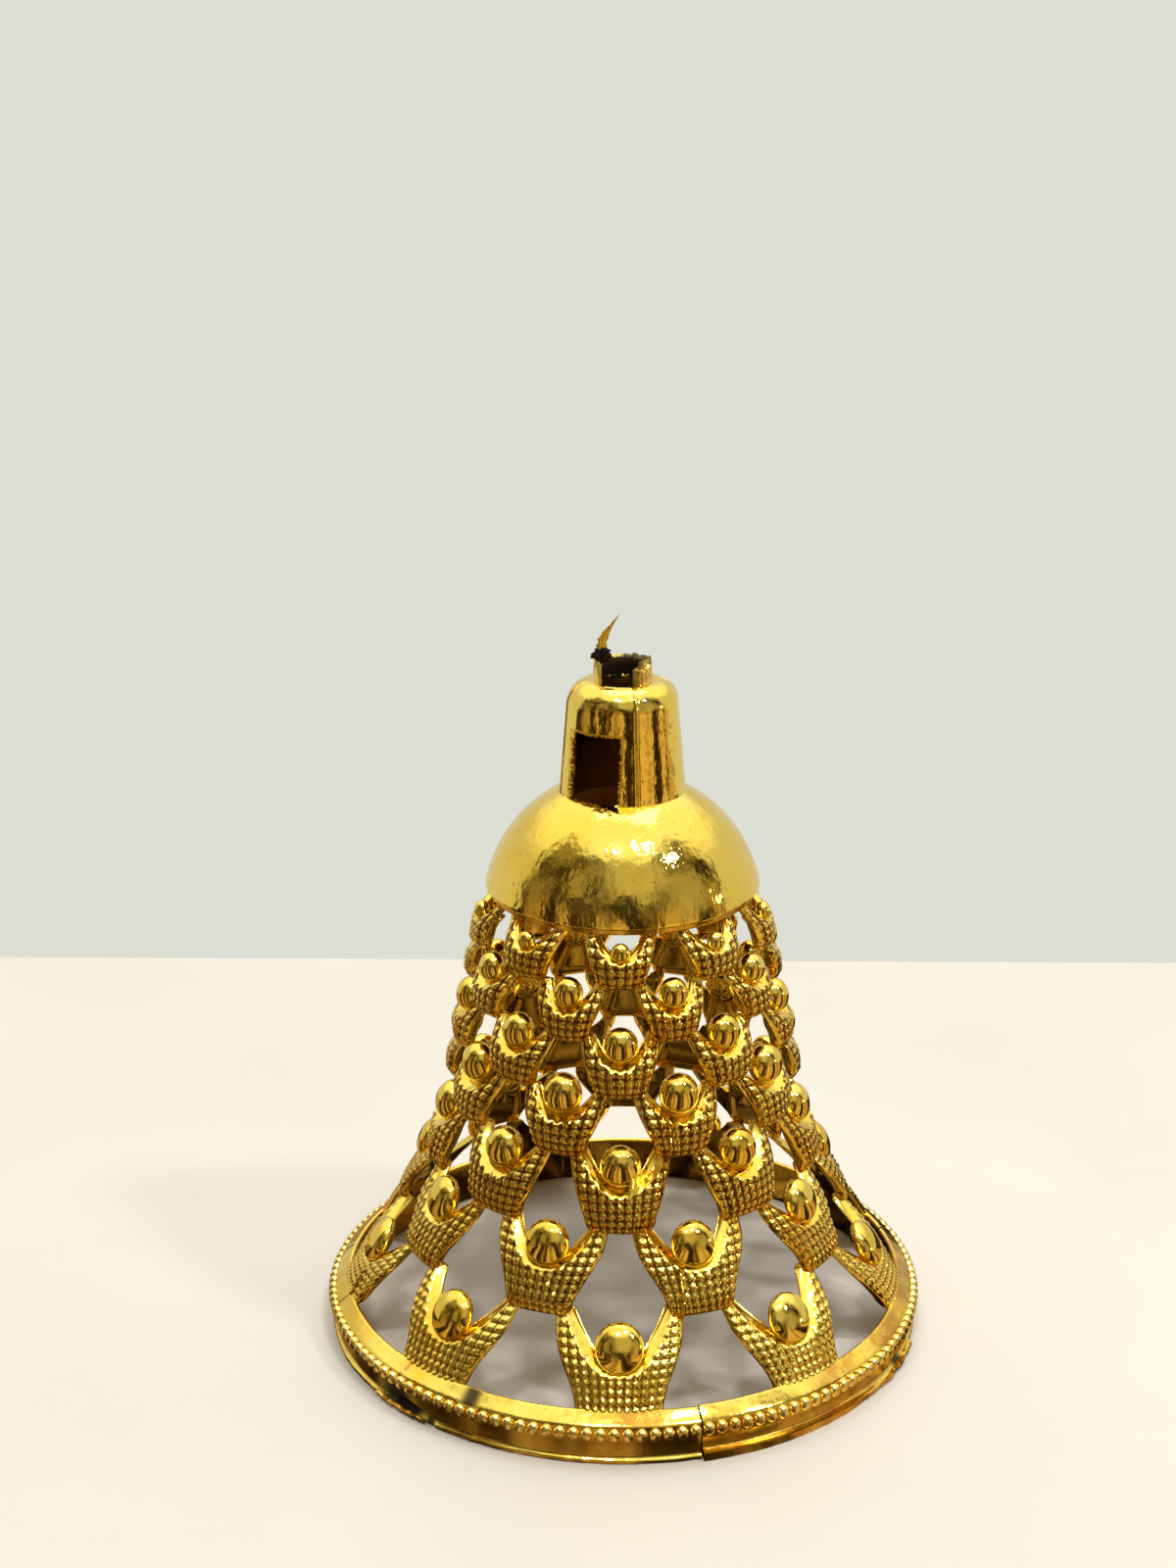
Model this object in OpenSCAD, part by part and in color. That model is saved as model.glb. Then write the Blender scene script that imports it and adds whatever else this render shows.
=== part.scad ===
// Bell ornament: an openwork bell of cups and balls on a beaded rim, under a
// plain dome with a hollow neck and the stub of a broken hanger.
// Millimetres, +Z up. The origin is on the table, on the bell's axis.
// Azimuth 0 points along -Y and grows towards +X.

/* [Rim] */
// Diameter of the rim, across the centres of its beads
rim_d = 50; // [48:0.5:52]
// Height of the row of beads above the table
bead_z = 2.5; // [2.3:0.1:2.8]
// Diameter of one bead
bead_d = 1; // [0.8:0.05:1.1]
// Beads in each quarter of the rim
beads_per_quarter = 37; // [30:1:40]

/* [Lattice] */
// Cups in each row, with the next row staggered by half a step
cups_per_row = 9; // [8:1:10]
// Thickness of the lattice wall
wall_t = 1.9; // [1.6:0.1:2.2]
// How far each cup's dotted front stands proud of its arms
cup_proud = 0.45; // [0.3:0.05:0.6]
// Radius of the lattice where it meets the collar
waist_r = 11.8; // [11.4:0.1:12.2]
// Lean of the waist from the vertical, in degrees
waist_lean = 11; // [10:0.5:12]

/* [Dome and neck] */
// Radius of the dome's sphere
dome_r = 11.5; // [11.2:0.1:11.8]
// Thickness of the dome
dome_t = 1.1; // [0.8:0.1:1.4]
// Radius of the neck at its foot
neck_foot_r = 5.1; // [4.9:0.1:5.3]
// Radius of the neck under its rounded shoulder
neck_top_r = 4.5; // [4.3:0.1:4.7]
// Thickness of the neck's wall
neck_t = 0.75; // [0.6:0.05:0.9]
// Height of the top of the neck
neck_z = 55.75; // [54.5:0.25:57]
// Height of the window in the neck
window_h = 6.3; // [5:0.1:7]

/* [Hanger stub] */
// Outer radius of the broken tube
stub_r = 2.35; // [2.2:0.05:2.5]
// Radius of the hole through the tube
stub_bore_r = 1.55; // [1.4:0.05:1.7]
// Height of what is left of the tube
stub_h = 1.65; // [1.2:0.05:2]

/* [Hidden] */
$fn = 64;

// Colours
GOLD = [0.83, 0.63, 0.17];
PALE_GOLD = [0.9, 0.75, 0.32];
DEEP_GOLD = [0.68, 0.47, 0.1];
TORN_GOLD = [0.55, 0.36, 0.12];

// Rows are counted from the dome down: the height of each row of cups, the
// height of each ball's centre above its row's foot, and each ball's radius
ROWS = 7;
row_h = [4.1, 3.9, 4.5, 4.6, 5.5, 5.9, 6.0];
ball_rise = [2.7, 3.2, 3.8, 4.3, 4.4, 4.3, 3.9];
ball_r = [0.75, 1.2, 1.4, 1.6, 1.65, 1.8, 1.9];
function sum_from(list, i) = i >= len(list) ? 0 : list[i] + sum_from(list, i + 1);

// Heights along the axis
foot_z = 3.5;                          // foot of the lowest row, on the rim
lattice_top = foot_z + sum_from(row_h, 0);
collar_h = 0.5;
dome_edge_z = lattice_top + collar_h;
dome_z = 36.3;                         // centre of the dome's sphere
function row_foot(i) = foot_z + sum_from(row_h, i);
function row_top(i) = row_foot(i) + row_h[i - 1];

// The lattice's outer surface: a leaning waist, an arc, then a straight flare
flare_lean = 33.5;
flare_r = 30;
arc_top_z = 21;
arc_top_r = waist_r + (lattice_top - arc_top_z) * tan(waist_lean);
arc_foot_z = arc_top_z - flare_r * (sin(flare_lean) - sin(waist_lean));
arc_foot_r = arc_top_r + flare_r * (cos(waist_lean) - cos(flare_lean));
function lean_at(z) = asin(sin(waist_lean) + (arc_top_z - z) / flare_r);
function wall_r(z) =
    z >= arc_top_z ? waist_r + (lattice_top - z) * tan(waist_lean)
    : z >= arc_foot_z ? arc_top_r + flare_r * (cos(waist_lean) - cos(lean_at(z)))
    : arc_foot_r + (arc_foot_z - z) * tan(flare_lean);

// Directions of the four parting lines that the rim breaks at
SEAM = 15;
QUARTERS = [SEAM - 90, SEAM, SEAM + 90, SEAM + 180];
seam_gap = 0.35;                       // degrees left open at each line

// The cups, as angles about the bell's axis
step = 360 / cups_per_row;
foot_half = 0.215 * step;              // half the width of a cup's foot
arm_out = 0.38 * step;                 // outer edge of an arm's tip
arm_in = 0.26 * step;                  // inner edge of an arm's tip
dip = 0.47;                            // lowest point of the mouth, of the row's height
ledge = 0.55;                          // smooth lip left round the mouth
edge = 0.3;                            // smooth edge left down the sides
function row_turn(i) = i % 2 == 0 ? step / 2 : 0;

// What is drawn at azimuth 0, turned to each cup of a row
module each_cup(i)
    for (k = [0 : cups_per_row - 1])
        rotate([0, 0, row_turn(i) + k * step])
            children();

// Half width of a cup and of its mouth, at part f of its row's height
function side_at(i, f) =
    let (low = wall_r(row_foot(i)) * sin(foot_half), high = wall_r(row_top(i)) * sin(arm_out))
    low + (high - low) * sin(90 * min(1, f / 0.8));
function mouth_at(i, f) =
    wall_r(row_top(i)) * sin(arm_in) * sqrt(max(0, (f - dip) / (1 - dip)));

// Outline of a cup with two raised arms: across in X, height in Y.
// It is drawn smaller by side at its sides and by lip round its mouth.
module cup_outline(i, side = 0, lip = 0) {
    low_f = side / row_h[i - 1];
    tip_f = 1 - 2 * low_f;
    sides = [for (f = [0, 0.2, 0.4, 0.6, 0.8, 1]) low_f + f * (tip_f - low_f)];
    drop = lip / row_h[i - 1];
    mouth = [for (s = [0, 0.25, 0.5, 0.75, 1]) dip + s * s * (1 - dip)];
    right = concat(
        [for (f = sides) [side_at(i, f) - side, row_foot(i) + f * row_h[i - 1]]],
        [for (k = [4 : -1 : 0]) let (f = mouth[k])
            [mouth_at(i, f), row_foot(i) + (f - drop - (k == 4 ? 2 * low_f : 0)) * row_h[i - 1]]]);
    left = [for (k = [len(right) - 2 : -1 : 0]) [-right[k][0], right[k][1]]];
    polygon(concat(right, left));
}

module stand_up(length)
    rotate([90, 0, 0])
        linear_extrude(length)
            children();

// The lattice wall over one row's height at azimuth 0, from depth near to depth far
module wall_sector(i, near, far) {
    heights = [for (f = [0, 0.25, 0.5, 0.75, 1]) row_foot(i) + f * row_h[i - 1]];
    width = 0.96 * step;
    rotate([0, 0, -90 - width / 2])
        rotate_extrude(angle = width)
            polygon(concat(
                [for (z = heights) [wall_r(z) - near, z]],
                [for (k = [4 : -1 : 0]) [wall_r(heights[k]) - far, heights[k]]]));
}

module ball(i)
    translate([0, 0.7 * ball_r[i - 1] - wall_r(row_foot(i) + ball_rise[i - 1]),
        row_foot(i) + ball_rise[i - 1]])
        sphere(r = ball_r[i - 1]);

// One cup: two arms and a proud front, with a seat for its ball
module cup(i)
    difference() {
        union() {
            intersection() {
                wall_sector(i, cup_proud, wall_t);
                stand_up(rim_d) cup_outline(i);
            }
            intersection() {
                wall_sector(i, 0, wall_t / 2);
                stand_up(rim_d) cup_outline(i, edge, ledge);
            }
        }
        ball(i);
        if (i == ROWS) rim_ring();
    }

module cup_row(i)
    color(GOLD)
        each_cup(i)
            cup(i);

module ball_row(i)
    color(PALE_GOLD)
        each_cup(i)
            ball(i);

// Section of the rim: a lip on the table, a hollowed side and a sloping top
rim_wall_r = rim_d / 2 - bead_d / 4;   // the beads are sunk a quarter into it
rim_in_r = rim_wall_r - 1.45;
rim_top_z = bead_z + 1.4;
rim_edge_z = bead_z + 0.6;
module rim_section()
    polygon([
        [rim_in_r, 0.3], [rim_in_r + 0.3, 0], [rim_wall_r + 0.15, 0], [rim_wall_r + 0.35, 0.2],
        [rim_wall_r + 0.35, 0.45], [rim_wall_r - 0.1, 0.8], [rim_wall_r - 0.2, 1.4],
        [rim_wall_r, 1.9], [rim_wall_r, rim_edge_z], [rim_in_r + 0.25, rim_top_z],
        [rim_in_r, rim_top_z - 0.2]]);

module rim_ring()
    rotate_extrude()
        rim_section();

module rim_quarter(from)
    color(GOLD)
        rotate([0, 0, from - 90 + seam_gap / 2])
            rotate_extrude(angle = 90 - seam_gap)
                rim_section();

module bead_quarter(from)
    color(PALE_GOLD)
        for (k = [0 : beads_per_quarter - 1])
            rotate([0, 0, from - 90 + (k + 0.5) * 90 / beads_per_quarter])
                difference() {
                    translate([rim_d / 2, 0, bead_z]) sphere(d = bead_d);
                    translate([rim_wall_r - bead_d, -bead_d, bead_z - bead_d])
                        cube([bead_d, 2 * bead_d, 2 * bead_d]);
                }

// Thin fin of moulding flash, low on the rim
module flash(from, width, reach)
    color(DEEP_GOLD)
        rotate([0, 0, from - 90])
            rotate_extrude(angle = width)
                translate([rim_wall_r + 0.35, 0.2])
                    square([reach, 0.25]);

module collar()
    color(DEEP_GOLD)
        difference() {
            translate([0, 0, lattice_top])
                cylinder(r = waist_r - 1, h = collar_h);
            translate([0, 0, lattice_top - 1])
                cylinder(r = waist_r - wall_t, h = collar_h + 2);
        }

// The window faces the middle of one quarter and is cut straight through
window_turn = SEAM - 45;
window_w = 4.9;
window_z = 46;
module window_cut()
    rotate([0, 0, window_turn])
        translate([-window_w / 2, -neck_foot_r - 2, window_z])
            cube([window_w, neck_foot_r, window_h]);

neck_foot_z = 45.4;
module dome()
    color(PALE_GOLD)
        difference() {
            translate([0, 0, dome_z]) sphere(r = dome_r, $fn = 128);
            translate([0, 0, dome_z]) sphere(r = dome_r - dome_t, $fn = 128);
            translate([0, 0, dome_edge_z - 2 * dome_r]) cylinder(r = 2 * dome_r, h = 2 * dome_r);
            translate([0, 0, neck_foot_z - 1]) cylinder(r = neck_foot_r, h = dome_r);
            window_cut();
        }

// Profile of the neck, drawn in by t all round
shoulder_r = 1.95;
shoulder_z = neck_z - shoulder_r;
taper_z = 46.8;                        // the neck is straight below this
module neck_profile(t)
    polygon(concat(
        [[0, neck_foot_z - (t > 0 ? 1 : 0)], [neck_foot_r - t, neck_foot_z - (t > 0 ? 1 : 0)],
            [neck_foot_r - t, taper_z]],
        [for (a = [0 : 11.25 : 90])
            [neck_top_r - shoulder_r + (shoulder_r - t) * cos(a), shoulder_z + (shoulder_r - t) * sin(a)]],
        [[0, neck_z - t]]));

module neck()
    color(GOLD)
        difference() {
            rotate_extrude() neck_profile(0);
            rotate_extrude() neck_profile(neck_t);
            cylinder(r = stub_bore_r, h = neck_z + 1);
            window_cut();
        }

// The tube has lost its front: what is left runs round the back
stub_from = 36;
stub_turn = 284;
module hanger_stub()
    color(TORN_GOLD)
        difference() {
            rotate([0, 0, stub_from - 90])
                rotate_extrude(angle = stub_turn)
                    translate([stub_bore_r, neck_z])
                        square([stub_r - stub_bore_r, stub_h]);
            translate([stub_bore_r / 2, -2 * stub_r, neck_z + stub_h - 0.3])
                rotate([0, 8, 0])
                    cube([2 * stub_r, 4 * stub_r, stub_h]);
        }

wisp_h = 3.8;
wisp_t = 0.35;
module torn_wisp()
    color(TORN_GOLD)
        translate([-stub_bore_r, wisp_t - stub_bore_r / 2, neck_z + stub_h])
            stand_up(wisp_t)
                polygon([[-0.55, 0], [0.05, 0], [0.2, 1], [0.55, 1.8], [0.95, 2.6], [1.3, wisp_h],
                    [0.45, 2.8], [-0.15, 1.8], [-0.45, 1.1]]);

torn_wisp();
hanger_stub();
neck();
dome();
collar();
cup_row(1);  // cup_row_1
cup_row(2);  // cup_row_2
cup_row(3);  // cup_row_3
cup_row(4);  // cup_row_4
cup_row(5);  // cup_row_5
cup_row(6);  // cup_row_6
cup_row(7);  // cup_row_7
ball_row(1);  // ball_row_1
ball_row(2);  // ball_row_2
ball_row(3);  // ball_row_3
ball_row(4);  // ball_row_4
ball_row(5);  // ball_row_5
ball_row(6);  // ball_row_6
ball_row(7);  // ball_row_7
rim_quarter(QUARTERS[0]);  // rim_front
rim_quarter(QUARTERS[1]);  // rim_right
rim_quarter(QUARTERS[2]);  // rim_back
rim_quarter(QUARTERS[3]);  // rim_left
bead_quarter(QUARTERS[0]);  // beads_front
bead_quarter(QUARTERS[1]);  // beads_right
bead_quarter(QUARTERS[2]);  // beads_back
bead_quarter(QUARTERS[3]);  // beads_left
flash(52, 22, 0.5);  // flash_right
flash(-52, 14, 0.3);  // flash_left
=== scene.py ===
"""Bell ornament: the gold-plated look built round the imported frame.

Lengths are millimetres, which MM turns into metres on their way into Blender, and
angles are degrees or come out of math.radians(), unless a comment says otherwise.
Azimuth 0 points along -Y and grows towards +X, as in the CAD source.
"""

import math

import bmesh
import bpy
import numpy as np
from mathutils import Matrix, Vector


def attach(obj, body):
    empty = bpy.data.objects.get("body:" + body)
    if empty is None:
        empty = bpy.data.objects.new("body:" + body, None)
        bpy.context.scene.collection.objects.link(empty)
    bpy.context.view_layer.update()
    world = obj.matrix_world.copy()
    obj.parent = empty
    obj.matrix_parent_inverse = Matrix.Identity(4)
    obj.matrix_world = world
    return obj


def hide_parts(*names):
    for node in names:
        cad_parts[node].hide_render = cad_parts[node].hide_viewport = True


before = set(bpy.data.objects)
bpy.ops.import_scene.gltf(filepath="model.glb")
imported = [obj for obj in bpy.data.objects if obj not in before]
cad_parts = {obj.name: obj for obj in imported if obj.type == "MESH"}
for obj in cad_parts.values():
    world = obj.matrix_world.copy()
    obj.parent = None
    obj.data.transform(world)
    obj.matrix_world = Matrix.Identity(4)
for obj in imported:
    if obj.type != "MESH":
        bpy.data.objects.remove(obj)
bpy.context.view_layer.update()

MM = 0.001
rng = np.random.default_rng(7)

# ---------- sizes of the bell

# Rows are counted from the top, and each tuple here holds one value per row
ROWS = 7
CUPS = 9
CUP_SPACING = 360 / CUPS
FOOT_Z = 3.5
ROW_H = (4.1, 3.9, 4.5, 4.6, 5.5, 5.9, 6.0)
FOOT_HALF = (1.62, 1.58, 1.85, 1.85, 2.55, 2.75, 3.42)
ARM_HALF = (2.8, 2.85, 3.15, 3.5, 3.95, 4.5, 5.0)
WALL_T, DRAFT = 1.3, 0.5

# Balls: height of the middle over the row's foot, radius, and thickness through the wall
BALL_RISE = (2.7, 3.2, 3.8, 4.3, 4.4, 4.3, 3.9)
BALL_R = (0.75, 1.2, 1.4, 1.6, 1.65, 1.8, 1.9)
BALL_THICK = (0.85, 0.85, 0.85, 0.84, 0.8, 0.6, 0.5)
BALL_LIFT = 0.25
BALL_PROUD = 0.3

# The lattice leans out a little at its waist, then along an arc, then more at its foot
WAIST_R = 11.8
WAIST_LEAN = math.radians(11)
FLARE_LEAN = math.radians(33.5)
FLARE_R = 30.0
ARC_TOP_Z = 21.0
LATTICE_TOP = 38.0
ARC_TOP_R = WAIST_R + (LATTICE_TOP - ARC_TOP_Z) * math.tan(WAIST_LEAN)
ARC_FOOT_Z = ARC_TOP_Z - FLARE_R * (math.sin(FLARE_LEAN) - math.sin(WAIST_LEAN))
ARC_FOOT_R = ARC_TOP_R + FLARE_R * (math.cos(WAIST_LEAN) - math.cos(FLARE_LEAN))

DOME_Z, DOME_R, DOME_T, DOME_EDGE_Z = 36.3, 11.5, 1.1, 38.5
NECK_FOOT_R, NECK_TOP_R, NECK_T, NECK_Z = 5.1, 4.5, 0.75, 55.75
NECK_FOOT_Z, TAPER_Z, SHOULDER_R = 45.4, 46.8, 1.95
WINDOW_TURN, WINDOW_W, WINDOW_Z, WINDOW_H = -30.0, 4.9, 46.0, 6.3
STUB_R, STUB_BORE_R, STUB_H = 2.35, 1.55, 1.65
RIM_R, BEAD_Z, BEAD_R, BEADS_PER_QUARTER = 25.0, 2.5, 0.5, 37

# Where each quarter of the mould starts, and how far the cups are set back just before it
SEAM = 15.0
QUARTERS = {"front": SEAM - 90, "right": SEAM, "back": SEAM + 90, "left": SEAM + 180}
MOULD_STEP = {"front": 0.12, "right": 0.24, "back": 0.12, "left": 0.12}


def lean_at(z):
    low, high = math.sin(WAIST_LEAN), math.sin(FLARE_LEAN)
    return np.arcsin(np.clip(low + (ARC_TOP_Z - np.asarray(z, float)) / FLARE_R, low, high))


def wall_r(z):
    """Radius of the lattice's outer surface at height z."""
    z = np.asarray(z, float)
    waist = WAIST_R + (LATTICE_TOP - z) * math.tan(WAIST_LEAN)
    arc = ARC_TOP_R + FLARE_R * (math.cos(WAIST_LEAN) - np.cos(lean_at(z)))
    flare = ARC_FOOT_R + (ARC_FOOT_Z - z) * math.tan(FLARE_LEAN)
    return np.where(z >= ARC_TOP_Z, waist, np.where(z >= ARC_FOOT_Z, arc, flare))


def row_foot(i):
    return FOOT_Z + sum(ROW_H[i:])


def smooth(a, b, x):
    t = np.clip((np.asarray(x, float) - a) / (b - a), 0, 1)
    return t * t * (3 - 2 * t)


def turned(points, degrees):
    a = math.radians(degrees)
    c, s = math.cos(a), math.sin(a)
    return points @ np.array([[c, s, 0], [-s, c, 0], [0, 0, 1]])


def at(azimuth, radius, z):
    """Points at these azimuths in degrees, radii and heights."""
    a = np.radians(azimuth)
    return np.stack(np.broadcast_arrays(radius * np.sin(a), -radius * np.cos(a), z), -1)


def turn_between(a, b):
    """Signed angle from b to a, from -180 up to 180."""
    return (a - b + 180) % 360 - 180


def aim(azimuth, elevation):
    """Unit vector from the bell towards this direction."""
    a, e = math.radians(azimuth), math.radians(elevation)
    return Vector((math.sin(a) * math.cos(e), -math.cos(a) * math.cos(e), math.sin(e)))


def mould_step(points):
    """Sets the cups back a little on one side of each parting line, as the mould did."""
    reach, fade_over = 12, 5.0
    azimuth = np.degrees(np.arctan2(points[:, 0], -points[:, 1]))
    for name, seam in QUARTERS.items():
        off = turn_between(seam, azimuth)
        back = MOULD_STEP[name] * np.exp(-np.maximum(off, 0) / fade_over)
        shift = np.where((off > 0) & (off < reach), back, 0)
        points = points * (1 - shift / np.hypot(points[:, 0], points[:, 1]))[:, None] ** [1, 1, 0]
    return points


# ---------- mesh helpers


class Shell:
    """Points, faces and a few numbers per point, gathered before they become one mesh."""

    def __init__(self):
        self.points, self.faces, self.values, self.count = [], [], {}, 0

    def add(self, points, faces, **values):
        points = np.asarray(points, float).reshape(-1, 3)
        self.faces.extend(tuple(v + self.count for v in f) for f in faces)
        for name in set(self.values) | set(values):
            column = self.values.setdefault(name, [np.zeros(self.count)])
            value = values.get(name, 0.0)
            column.append(np.broadcast_to(value, (len(points),)).astype(float))
        self.points.append(points)
        self.count += len(points)


def new_object(name, data):
    obj = bpy.data.objects.new(name, data)
    bpy.context.scene.collection.objects.link(obj)
    return obj


def mesh_piece(name, shell, material, nodes=(), sharp=None):
    """Makes one piece that rides on the bell, and stands for the CAD nodes named."""
    mesh = bpy.data.meshes.new(name)
    points = np.concatenate(shell.points) * MM
    mesh.from_pydata(points.tolist(), [], shell.faces)
    mesh.update()
    for key, column in shell.values.items():
        layer = mesh.attributes.new(key, "FLOAT", "POINT")
        layer.data.foreach_set("value", np.concatenate(column).astype(np.float32))
    bm = bmesh.new()
    bm.from_mesh(mesh)
    bmesh.ops.recalc_face_normals(bm, faces=bm.faces[:])
    bm.to_mesh(mesh)
    bm.free()
    mesh.shade_smooth()
    if sharp:
        mesh.set_sharp_from_angle(angle=math.radians(sharp))
    obj = new_object(name, mesh)
    mesh.materials.append(material)
    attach(obj, "root")
    if nodes:
        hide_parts(*nodes)
    return obj


def grid_faces(rows, columns, close_rows=False, close_columns=False, start=0):
    faces = []
    for r in range(rows if close_rows else rows - 1):
        for c in range(columns if close_columns else columns - 1):
            a = start + r * columns + c
            b = start + r * columns + (c + 1) % columns
            up = ((r + 1) % rows - r) * columns
            faces.append((a, b, b + up, a + up))
    return faces


def capped_tube_faces(rows, columns):
    """Faces of a tube of closed loops, with a face across each end."""
    faces = grid_faces(rows, columns, close_columns=True)
    faces.append(tuple(range(columns)))
    faces.append(tuple(range((rows - 1) * columns, rows * columns)))
    return faces


def by_length(points, count, closed=False):
    """The same line with count points at even lengths along it."""
    points = np.asarray(points, float)
    if closed:
        points = np.vstack([points, points[:1]])
    run = np.concatenate([[0], np.cumsum(np.hypot(*np.diff(points, axis=0).T))])
    want = np.linspace(0, run[-1], count + (1 if closed else 0))[:count]
    return np.stack([np.interp(want, run, points[:, k]) for k in range(2)], -1)


def filleted(corners, sizes, spacing):
    """Closed outline of (r, z) corners, each cut back by its size and rounded."""
    longest_cut, curve_points, fewest_points = 0.45, 7, 12
    corners = np.asarray(corners, float)
    out = []
    for k, (p, size) in enumerate(zip(corners, sizes)):
        before = corners[k - 1] - p
        after = corners[(k + 1) % len(corners)] - p
        a = p + before / np.hypot(*before) * min(size, np.hypot(*before) * longest_cut)
        b = p + after / np.hypot(*after) * min(size, np.hypot(*after) * longest_cut)
        for t in np.linspace(0, 1, curve_points):
            out.append((1 - t) ** 2 * a + 2 * t * (1 - t) * p + t * t * b)
    out = np.array(out)
    total = np.hypot(*np.diff(np.vstack([out, out[:1]]), axis=0).T).sum()
    return by_length(out, max(fewest_points, int(total / spacing)), closed=True)


# ---------- materials

BLACK, WHITE = (0, 0, 0), (1, 1, 1)

# Noise scales of the plating, per metre
DRIFT_SCALE, PATCH_SCALE, FLECK_SCALE, BLOT_SCALE = 210, 520, 2300, 130
SKIN_SCALE, WAVE_SCALE, FINE_SCALE, GRAIN_SCALE = 900, 480, 1500, 7000
# Heights of the ripples in its skin
WAVE_H, FINE_H, GRAIN_H = 0.034, 0.02, 0.0016
SPECULAR = 0.15
# How much rougher the inside of a shell, and bare plastic, are than plating
DULL = 0.4


# A new node goes into the tree that the sockets it takes are in, which is their id_data


def link(a, b):
    a.id_data.links.new(a, b)


def new_node(tree, kind, **settings):
    node = tree.nodes.new(kind)
    for key, value in settings.items():
        setattr(node, key, value)
    return node


def feed(socket, value):
    """Links a socket, or sets a number or colour, on an input of a node."""
    if isinstance(value, bpy.types.NodeSocket):
        link(value, socket)
    elif isinstance(value, tuple):
        socket.default_value = (*value, 1)
    else:
        socket.default_value = value


def noise(coords, scale, detail, rough=0.5):
    node = new_node(coords.id_data, "ShaderNodeTexNoise")
    node.inputs["Scale"].default_value = scale
    node.inputs["Detail"].default_value = detail
    node.inputs["Roughness"].default_value = rough
    link(coords, node.inputs["Vector"])
    return node.outputs["Fac"]


def ramp(value, stops):
    node = new_node(value.id_data, "ShaderNodeValToRGB")
    elements = node.color_ramp.elements
    while len(elements) < len(stops):
        elements.new(0.5)
    for element, (place, colour) in zip(elements, stops):
        element.position = place
        element.color = (*colour, 1)
    link(value, node.inputs["Fac"])
    return node.outputs["Color"]


def fade(value, low, high):
    """Black up to low and white from high on."""
    return ramp(value, ((low, BLACK), (high, WHITE)))


def ease(value, low, high):
    """0 up to low, 1 from high on, and a smooth step between."""
    node = new_node(value.id_data, "ShaderNodeMapRange", interpolation_type="SMOOTHSTEP")
    link(value, node.inputs["Value"])
    node.inputs["From Min"].default_value = low
    node.inputs["From Max"].default_value = high
    return node.outputs["Result"]


def mix(factor, a, b):
    node = new_node(factor.id_data, "ShaderNodeMix", data_type="RGBA")
    for socket, value in ((node.inputs[0], factor), (node.inputs[6], a), (node.inputs[7], b)):
        feed(socket, value)
    return node.outputs[2]


def maths(operation, *values):
    tree = next(v.id_data for v in values if isinstance(v, bpy.types.NodeSocket))
    node = new_node(tree, "ShaderNodeMath", operation=operation)
    for socket, value in zip(node.inputs, values):
        feed(socket, value)
    return node.outputs[0]


def unit(vector):
    node = new_node(vector.id_data, "ShaderNodeVectorMath", operation="NORMALIZE")
    link(vector, node.inputs[0])
    return node.outputs[0]


def stored(tree, name):
    """A number that the mesh carries at each of its points."""
    return new_node(tree, "ShaderNodeAttribute", attribute_name=name).outputs["Fac"]


def skin_bump(coords, peel):
    """Normal of the plating's skin: ripples, a finer ripple drawn out in height, and grain."""
    wave = maths("MULTIPLY", noise(coords, WAVE_SCALE, 2), WAVE_H * peel)
    drawn = new_node(coords.id_data, "ShaderNodeMapping")
    drawn.inputs["Scale"].default_value = (1, 1, 0.5)
    link(coords, drawn.inputs["Vector"])
    fine = maths("MULTIPLY", noise(drawn.outputs[0], FINE_SCALE, 3), FINE_H * peel)
    grain = maths("MULTIPLY", noise(coords, GRAIN_SCALE, 2), GRAIN_H)
    bump = new_node(coords.id_data, "ShaderNodeBump")
    bump.inputs["Strength"].default_value = 1.0
    bump.inputs["Distance"].default_value = MM
    link(maths("ADD", maths("ADD", wave, fine), grain), bump.inputs["Height"])
    return bump.outputs["Normal"]


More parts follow.
